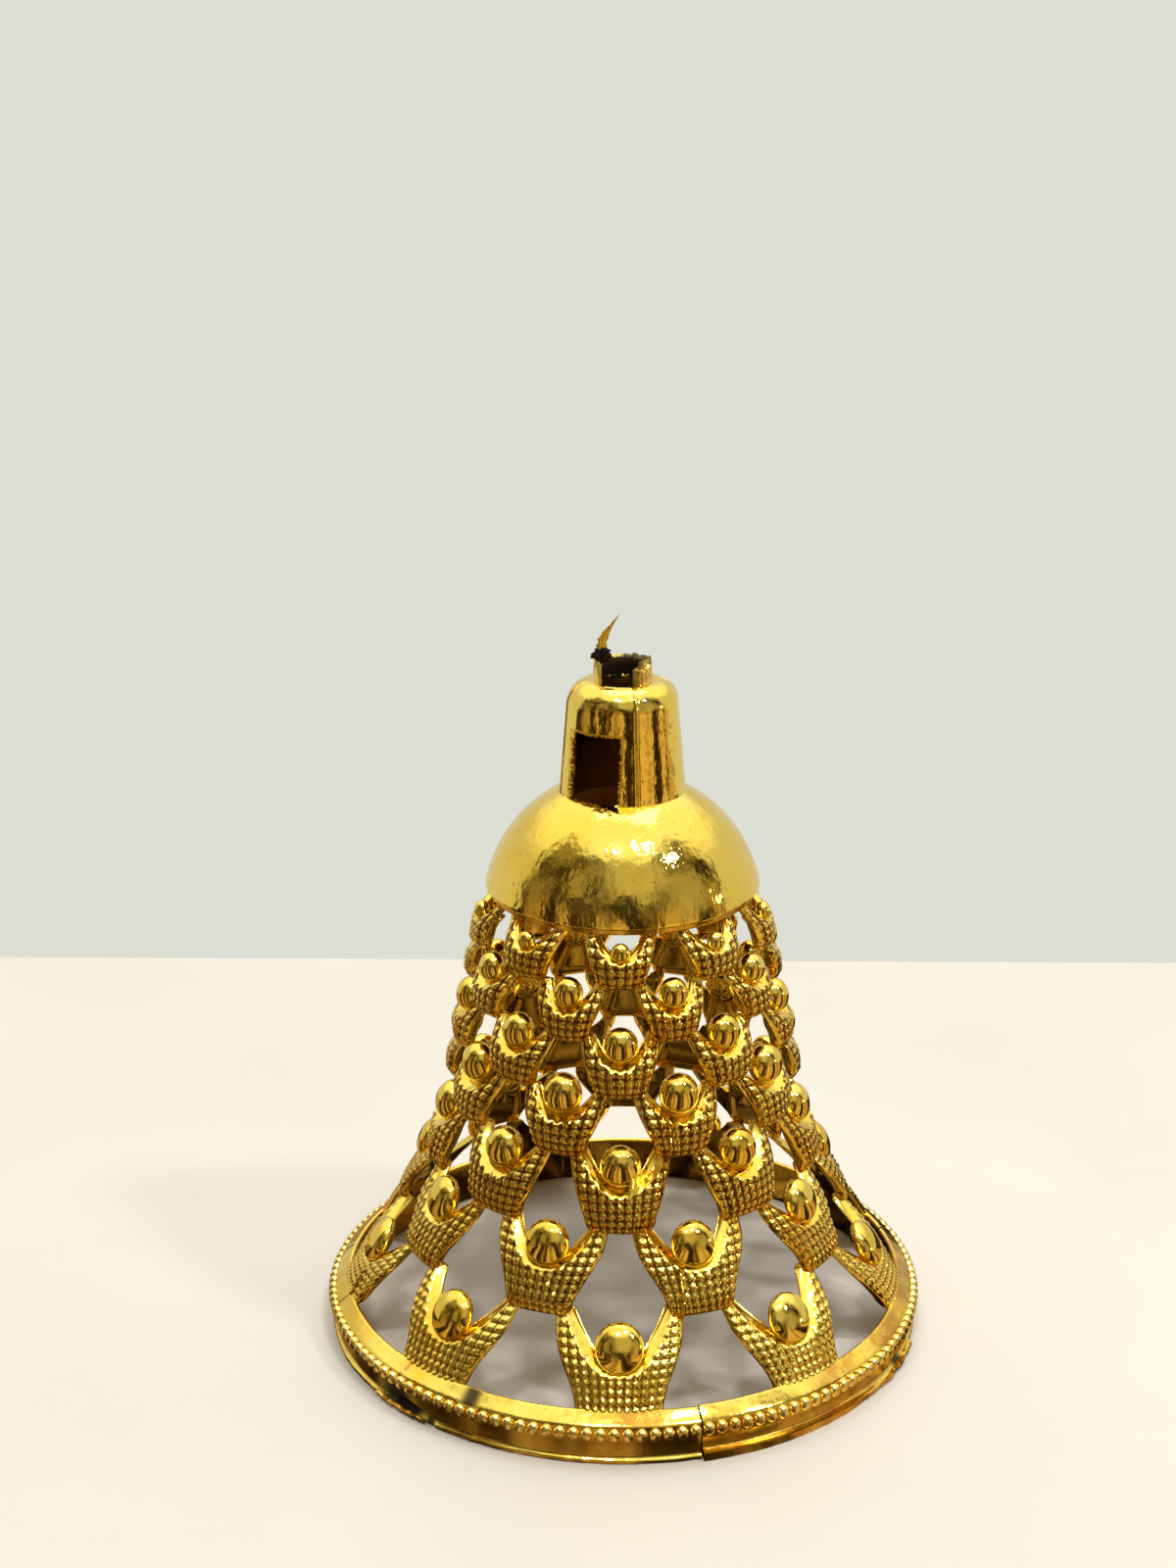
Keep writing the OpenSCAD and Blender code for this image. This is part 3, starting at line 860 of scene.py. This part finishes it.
def add_stub():
    """What is left of the hanger's tube, with a plated part, a block and a broken edge."""
    count, jags = 150, 48
    turns = np.linspace(36, 304, count)
    jag = np.interp(turns, np.linspace(30, 310, jags), rng.uniform(-1, 1, jags))
    fine = rng.uniform(-1, 1, count)
    block = smooth(106, 92, turns)
    plated = smooth(176, 190, turns)
    height = STUB_H - 0.12 - 0.09 * jag * (1 - 0.7 * plated) - 0.03 * fine - 0.35 * block
    outer = STUB_R - 0.03 * (1 + jag) + 0.05 * block
    inner = STUB_BORE_R + 0.05 * jag - 0.3 * block + 0.36 * smooth(200, 290, turns)
    loops, bare = [], []
    for k, a in enumerate(turns):
        h, o, n = height[k], outer[k], inner[k]
        rough = rng.uniform(-0.06, 0.06, 8) * (1 - 0.6 * plated[k])
        outside = [(o + 0.06, -0.1), (o, 0.12), (o + 0.4 * rough[5], h * 0.3),
                   (o + 0.5 * rough[4], h * 0.6), (o - 0.02, h - 0.12)]
        torn = [(o - 0.1, h + rough[0]), (o - 0.3, h + rough[1] * 1.6),
                (o - 0.55, h - 0.05 + rough[2] * 1.6), (n + 0.06, h - 0.14 + rough[3])]
        section = [*outside, *torn, (n, h * 0.6), (n + 0.03, h * 0.2), (n, -0.3)]
        loops.append([at(a, r, NECK_Z + z) for r, z in section])
        broken = 0.9 * (1 - plated[k]) * (1 - 0.85 * block[k])
        # The bore's faces are marked bare: near-black bare plastic, which also paints shade inside the bore
        bare.append([0, 0, 0, 0.1, 0.2 * broken, broken, broken, broken, 0.95, 1, 1, 1])
    loops, bare = np.array(loops), np.array(bare)
    # The two broken ends are ragged
    frayed = 3
    for end, inward in ((0, 1), (-1, -1)):
        ragged = rng.uniform(-0.12, 0.12, loops.shape[1])
        for k in range(frayed):
            along = at(turns[end] + 90, 1.0, 0.0)
            loops[end + inward * k] += along * (ragged * (1 - k / frayed))[:, None]
    shell = Shell()
    shell.add(loops, capped_tube_faces(len(turns), loops.shape[1]), bare=bare.ravel())
    # Splinters of plating that still stand on the break: azimuth, radius and height
    splinters = ((42, 2.1, 0.3), (58, 1.9, 0.2), (92, 2.2, 0.42),
                 (120, 2.1, 0.2), (290, 2.2, 0.2), (301, 2.2, 0.2))
    base = NECK_Z + STUB_H - 0.45
    for a, r, tall in splinters:
        wide = 2.4 + tall * 3
        foot = [at(a + wide, r - 0.15, base), at(a - wide, r - 0.15, base), at(a - wide, r + 0.15, base),
                at(a + wide, r + 0.15, base)]
        crown = [p + (at(a, r, base) - p) * 0.6 + [0, 0, tall + 0.3] for p in foot]
        shell.add(np.array(foot + crown), capped_tube_faces(2, 4), bare=0.6)
    mesh_piece("broken_stub", shell, TORN_GOLD, ["hanger_stub"], sharp=25)


def strip(shell, line, widths, start, twist, **values):
    """A curled strip of thin plating along a line, with these widths along it.

    It starts turned by start radians and twists by twist more.
    """
    count, passes = 30, 3
    skins = ((0.0, (-1, -0.5, 0, 0.5, 1)), (0.05, (0.97, 0.5, 0, -0.5, -0.97)))
    line, steps = np.array(line), np.linspace(0, len(line) - 1, count)
    knots = np.arange(len(line))
    middle = np.stack([np.interp(steps, knots, line[:, k]) for k in range(3)], -1)
    for _ in range(passes):
        middle[1:-1] = (middle[:-2] + 2 * middle[1:-1] + middle[2:]) / 4
    width = np.interp(steps, knots, widths) * (1 + 0.2 * rng.uniform(-1, 1, count))
    turn = np.linspace(start, start + twist, count)
    side = np.stack([np.cos(turn), np.sin(turn), np.zeros(count)], -1)
    face = np.stack([-np.sin(turn), np.cos(turn), np.zeros(count)], -1)
    loop = []
    for skin, places in skins:
        for place in places:
            curl = 0.3 * place ** 2 * width[:, None] + skin
            loop.append(middle + place * side * width[:, None] / 2 + face * curl)
    shell.add(np.stack(loop, 1), capped_tube_faces(count, len(loop)), **values)


def add_wisp():
    """The strip of plating that tore up with the hanger, and its crumpled root."""
    shell = Shell()
    strip(shell, ((-1.6, -0.55, 57.2), (-1.55, -0.6, 58.1), (-1.5, -0.62, 58.9), (-1.12, -0.6, 59.75),
                  (-0.72, -0.58, 60.35), (-0.2, -0.55, 61.18)), (0.5, 0.75, 0.9, 0.72, 0.4, 0.02), 0.2, 0.6)
    strip(shell, ((-1.9, -0.5, 57.3), (-2.0, -0.55, 58.0), (-1.75, -0.6, 58.8), (-1.35, -0.55, 59.9)),
          (0.4, 0.5, 0.36, 0.03), -0.2, -0.7, bare=0.25)
    strip(shell, ((-1.3, -0.4, 57.3), (-1.1, -0.5, 57.9), (-0.85, -0.6, 58.3)), (0.5, 0.4, 0.03), 0.4, 0.9,
          bare=0.7)
    knot, faces = ball_mesh(0.55, 28, 18)
    swell = 1 + 0.3 * np.sin(knot[:, 0] * 17 + 1) * np.sin(knot[:, 1] * 13 + knot[:, 2] * 7)
    swell += 0.16 * rng.uniform(-1, 1, len(knot))
    shell.add(knot * swell[:, None] * [1.3, 0.8, 1.0] + [-1.62, -0.5, 57.85], faces, bare=1.0)
    mesh_piece("wisp", shell, FOIL_GOLD, ["torn_wisp"], sharp=40)


add_stub()
add_wisp()

# ---------- rim and beads

# The rim's vertical face lies outside this radius
FACE_R = 24.3
# By quarter: azimuth, half width, lowest and highest place, and depth of each chip
CHIPS = {
    "front": ((-28.6, 2.0, 3.0, 3.75, 0.12), (-47.0, 4.6, 0.1, 1.9, 0.2),
              (-42.0, 3.4, 0.1, 0.8, 0.2), (-37.0, 1.2, 0.1, 0.5, 0.16)),
    "right": ((66.0, 2.4, 0.1, 0.6, 0.2),),
}


def rim_quarter(name, start):
    """Azimuths, radii and heights of one quarter of the rim."""
    corners = [(23.3, 0.3), (23.6, 0.0), (24.9, 0.0), (25.0, 0.14), (24.98, 0.32), (24.72, 0.46),
               (24.6, 1.3), (24.72, 1.95), (24.75, 3.0), (24.6, 3.16), (23.55, 3.9), (23.3, 3.7)]
    sizes = [0.15, 0.15, 0.1, 0.1, 0.1, 0.2, 0.3, 0.2, 0.12, 0.14, 0.16, 0.12]
    count, gap, settle = 240, 0.17, 16.0
    outline = filleted(corners, sizes, 0.11)
    turns = np.linspace(start + gap, start + 90 - gap, count)
    r = np.broadcast_to(outline[None, :, 0], (count, len(outline))).copy()
    z = np.broadcast_to(outline[None, :, 1], r.shape).copy()

    def uneven(points):
        return np.interp(turns, np.linspace(start, start + 90, points), rng.uniform(-1, 1, points))

    wobble = uneven(60)
    slow = uneven(9)
    lip = np.clip((0.75 - z) / 0.5, 0, 1) * (r > FACE_R)
    r += (0.035 * wobble + 0.03 * slow)[:, None] * lip
    flange = smooth(3.0, 3.5, z)
    z += (0.03 * slow + 0.012 * wobble)[:, None] * flange
    # The quarters of the mould stood apart a little: a step at the start of each, which is
    # largest where the photo shows it
    stays = np.exp(-((turns - start) / settle))[:, None] * (1.0 if name == "right" else 0.35)
    proud = smooth(60, 25, turns - start)[:, None] if name == "right" else 0.0
    r += (0.1 * stays + 0.28 * proud) * lip
    z += (0.18 * stays + 0.32 * proud) * lip * (z > 0.1)
    z += 0.1 * stays * flange
    return turns, r, z


def chip(turns, r, z, bare, azimuth, width, low, high, depth):
    """Breaks plating and a little plastic away round one place on the rim."""
    near = np.exp(-((turns - azimuth) / width) ** 4)[:, None]
    band = smooth(low - 0.2, low, z) * (1 - smooth(high, high + 0.2, z)) * (r > 23.45)
    hit = near * band
    r -= depth * hit
    bare += hit * 0.95


def add_rim_wall(name, start):
    turns, r, z = rim_quarter(name, start)
    bare = np.zeros_like(r)
    for place in CHIPS.get(name, ()):
        chip(turns, r, z, bare, *place)
    # Painted shade: the vertical face under the beads is darkened towards brown, most of all in front
    shade_strength = 0.5 if name == "front" else 0.3
    under = smooth(0.45, 0.7, z) * (1 - smooth(1.9, 2.3, z)) * (r > FACE_R) * shade_strength
    values = {"bare": np.clip(bare, 0, 1).ravel(), "inner": under.ravel()}
    shell = Shell()
    shell.add(at(turns[:, None], r, z), capped_tube_faces(*r.shape), **values)
    mesh_piece(f"rim_wall_{name}", shell, RIM_GOLD, [f"rim_{name}"], sharp=50)


def add_beads(name, start):
    """The beads of one quarter, which ride up a little with the rim's step."""
    bead, faces = ball_mesh(BEAD_R, 18, 12)
    highest = 0.12 * (1.0 if name == "right" else 0.3)
    shell = Shell()
    for k in range(BEADS_PER_QUARTER):
        along = (k + 0.5) * 90 / BEADS_PER_QUARTER
        lift = highest * math.exp(-along / 16.0)
        shape = bead * [0.98, 0.9, 1.08] + [0, -RIM_R + 0.13, BEAD_Z + lift]
        shell.add(turned(shape, start + along), faces)
    mesh_piece(f"bead_string_{name}", shell, BEAD_GOLD, [f"beads_{name}"])


def add_flash(name, start, width, reach, node):
    """A thin curled fin, ragged along its free edge."""
    count, jags = 60, 22
    turns = start + np.linspace(0, width, count)
    ragged = np.interp(turns, start + np.linspace(0, width, jags), rng.uniform(0.25, 1, jags))
    free = reach * ragged * np.sin(np.linspace(0.06, 0.94, count) * math.pi) ** 0.4
    loops = []
    for k, a in enumerate(turns):
        out = free[k]
        curl = 0.22 * math.sin(k * 0.55) * out + 0.25 * out
        section = [(24.95, 0.2), (25.1 + out * 0.5, 0.24 + curl * 0.4), (25.1 + out, 0.3 + curl),
                   (25.08 + out, 0.37 + curl), (25.1 + out * 0.5, 0.34 + curl * 0.4), (24.95, 0.44)]
        loops.append([at(a, r, z) for r, z in section])
    shell = Shell()
    shell.add(np.array(loops), capped_tube_faces(count, len(section)))
    mesh_piece(name, shell, DEEP_GOLD, [node], sharp=40)


for quarter, quarter_start in QUARTERS.items():
    add_rim_wall(quarter, quarter_start)
    add_beads(quarter, quarter_start)
add_flash("flash_fin_right", 52, 22, 0.48, "flash_right")
add_flash("flash_fin_left", -52, 14, 0.28, "flash_left")

# ---------- floor and sky

FLOOR_REACH, FLOOR_BACK = 3000, 79
# Streaks of the table, of the room in front, and of the band just above the horizon
TABLE = ((0.38, (0.012, 0.007, 0.004)), (0.5, (0.06, 0.035, 0.018)), (0.6, (0.46, 0.32, 0.17)))
ROOM = ((0.38, (0.015, 0.011, 0.007)), (0.5, (0.1, 0.08, 0.045)), (0.6, (0.34, 0.29, 0.18)))
SKIRTING = ((0.38, (0.018, 0.012, 0.007)), (0.5, (0.085, 0.05, 0.027)), (0.6, (0.55, 0.38, 0.2)))
PALE_WALL, CEILING = (0.66, 0.64, 0.56), (1.2, 1.2, 1.1)
GLINT, BACKDROP = (18.0, 18.0, 17.0), (0.72, 0.735, 0.66)
# Patches in the room: azimuth, elevation, inner and outer reach, strength and colour
PATCHES = (
    (14, 46, 12, 32, 0.85, (0.62, 0.58, 0.44)),
    (62, 22, 6, 24, 0.7, (0.55, 0.48, 0.34)),
    (4, 18, 5, 14, 0.85, (0.015, 0.012, 0.008)),
)


def floor_material():
    """Pale, except to mirror rays, which meet a matt brown table top."""
    material = bpy.data.materials.new("pale_floor")
    material.use_nodes = True
    tree = material.node_tree
    shader = tree.nodes["Principled BSDF"]
    coords = new_node(tree, "ShaderNodeTexCoord").outputs["Object"]
    tone = ramp(noise(coords, 30, 4), ((0.3, (0.6, 0.56, 0.5)), (0.7, (0.63, 0.59, 0.53))))
    link(tone, shader.inputs["Base Color"])
    shader.inputs["Roughness"].default_value = 0.55
    table = new_node(tree, "ShaderNodeBsdfDiffuse")
    streaks = noise(unit(coords), 3.4, 3, 0.6)
    link(ramp(streaks, TABLE), table.inputs["Color"])
    mixed = new_node(tree, "ShaderNodeMixShader")
    link(new_node(tree, "ShaderNodeLightPath").outputs["Is Glossy Ray"], mixed.inputs[0])
    link(shader.outputs[0], mixed.inputs[1])
    link(table.outputs[0], mixed.inputs[2])
    link(mixed.outputs[0], tree.nodes["Material Output"].inputs["Surface"])
    return material


def add_floor():
    """A flat floor that ends behind the bell."""
    mesh = bpy.data.meshes.new("floor")
    corners = [(-FLOOR_REACH, -FLOOR_REACH), (FLOOR_REACH, -FLOOR_REACH),
               (FLOOR_REACH, FLOOR_BACK), (-FLOOR_REACH, FLOOR_BACK)]
    mesh.from_pydata([(x * MM, y * MM, 0) for x, y in corners], [], [(0, 1, 2, 3)])
    mesh.materials.append(floor_material())
    new_object("floor", mesh)


def add_sky():
    """Lights the bell from all round. The camera itself sees one flat colour instead."""
    world = bpy.data.worlds.new("studio")
    bpy.context.scene.world = world
    world.use_nodes = True
    tree = world.node_tree
    direction = new_node(tree, "ShaderNodeTexCoord").outputs["Generated"]
    parts = new_node(tree, "ShaderNodeSeparateXYZ")
    link(direction, parts.inputs[0])
    back, up = parts.outputs["Y"], parts.outputs["Z"]

    def lobe(azimuth, elevation, inner, outer):
        """1 within inner degrees of a direction, falling to 0 at outer degrees."""
        dot = new_node(tree, "ShaderNodeVectorMath", operation="DOT_PRODUCT")
        link(direction, dot.inputs[0])
        dot.inputs[1].default_value = aim(azimuth, elevation)
        low, high = math.cos(math.radians(outer)), math.cos(math.radians(inner))
        return ease(dot.outputs["Value"], low, high)

    flat = new_node(tree, "ShaderNodeVectorMath", operation="MULTIPLY")
    link(direction, flat.inputs[0])
    flat.inputs[1].default_value = (1, 1, 0)
    skirting = ramp(noise(unit(flat.outputs[0]), 3.4, 3, 0.6), SKIRTING)
    room = ramp(noise(direction, 3.0, 5, 0.65), ROOM)
    room = mix(ease(up, 0.1, 0.42), skirting, room)
    for azimuth, elevation, inner, outer, strength, colour in PATCHES:
        amount = maths("MULTIPLY", lobe(azimuth, elevation, inner, outer), strength)
        room = mix(amount, room, colour)
    shade = mix(ease(back, 0.0, 0.14), room, PALE_WALL)
    # The ceiling is overhead, and comes lower behind the bell than in front
    high = maths("MULTIPLY_ADD", back, 0.45, up)
    lit = maths("MULTIPLY", ease(high, 0.45, 0.85), ease(up, 0.25, 0.6))
    lit = maths("MULTIPLY", lit, ease(back, -0.1, 0.1))
    lit = maths("MAXIMUM", lit, ease(up, 0.78, 0.9))
    shade = mix(lit, shade, CEILING)
    # A small bright patch low on the right
    shade = mix(lobe(89, 8, 1.2, 3.0), shade, GLINT)
    seen = new_node(tree, "ShaderNodeLightPath").outputs["Is Camera Ray"]
    link(mix(seen, shade, BACKDROP), tree.nodes["Background"].inputs["Color"])


add_floor()
add_sky()

# ---------- lamps and camera

# The height that the lamps aim at, and the camera's nearest distance, both in metres
AIM_Z, CLIP_START = 0.035, 0.005
LENS, SENSOR, CAMERA_BACK, CAMERA_UP = 54.09, 36.0, 181.761, 104.4075
# Pitch, yaw and roll are in radians. Turn carries the whole camera round the bell
PITCH, YAW, ROLL, TURN = 0.306117, -0.015349, -0.005517, math.radians(0.762)


def lamp(name, azimuth, elevation, distance, width, height, power):
    """A soft box aimed at the middle of the bell. Its lengths are in metres."""
    way = aim(azimuth, elevation)
    data = bpy.data.lights.new(name, "AREA")
    data.shape = "RECTANGLE"
    data.size, data.size_y = width, height
    data.energy = power
    obj = new_object(name, data)
    obj.location = Vector((0, 0, AIM_Z)) + way * distance
    obj.rotation_mode = "QUATERNION"
    obj.rotation_quaternion = way.to_track_quat("Z", "Y")


def add_camera():
    """Camera at the photograph's viewing angle."""
    data = bpy.data.cameras.new("camera")
    data.lens = LENS
    data.sensor_width = SENSOR
    data.clip_start = CLIP_START
    camera = new_object("camera", data)
    bpy.context.scene.camera = camera
    level = math.cos(PITCH)
    forward = Vector((math.sin(YAW) * level, math.cos(YAW) * level, -math.sin(PITCH)))
    right = Vector((math.cos(YAW), -math.sin(YAW), 0))
    up = right.cross(forward)
    rolled_right = right * math.cos(ROLL) + up * math.sin(ROLL)
    rolled_up = up * math.cos(ROLL) - right * math.sin(ROLL)
    axes = Matrix((rolled_right, rolled_up, -forward)).transposed()
    turn = Matrix.Rotation(TURN, 3, "Z")
    place = turn @ Vector((0, -CAMERA_BACK, CAMERA_UP)) * MM
    camera.matrix_world = Matrix.Translation(place) @ (turn @ axes).to_4x4()


lamp("box_left", -12, 66, 0.9, 0.09, 0.09, 1.8)
lamp("box_middle", 45, 67, 0.9, 0.09, 0.09, 2.0)
lamp("box_right", 66, 49, 0.9, 0.09, 0.09, 1.8)
lamp("box_top", 170, 72, 1.1, 0.7, 0.5, 3.0)
add_camera()
bpy.context.scene.view_settings.view_transform = "Standard"
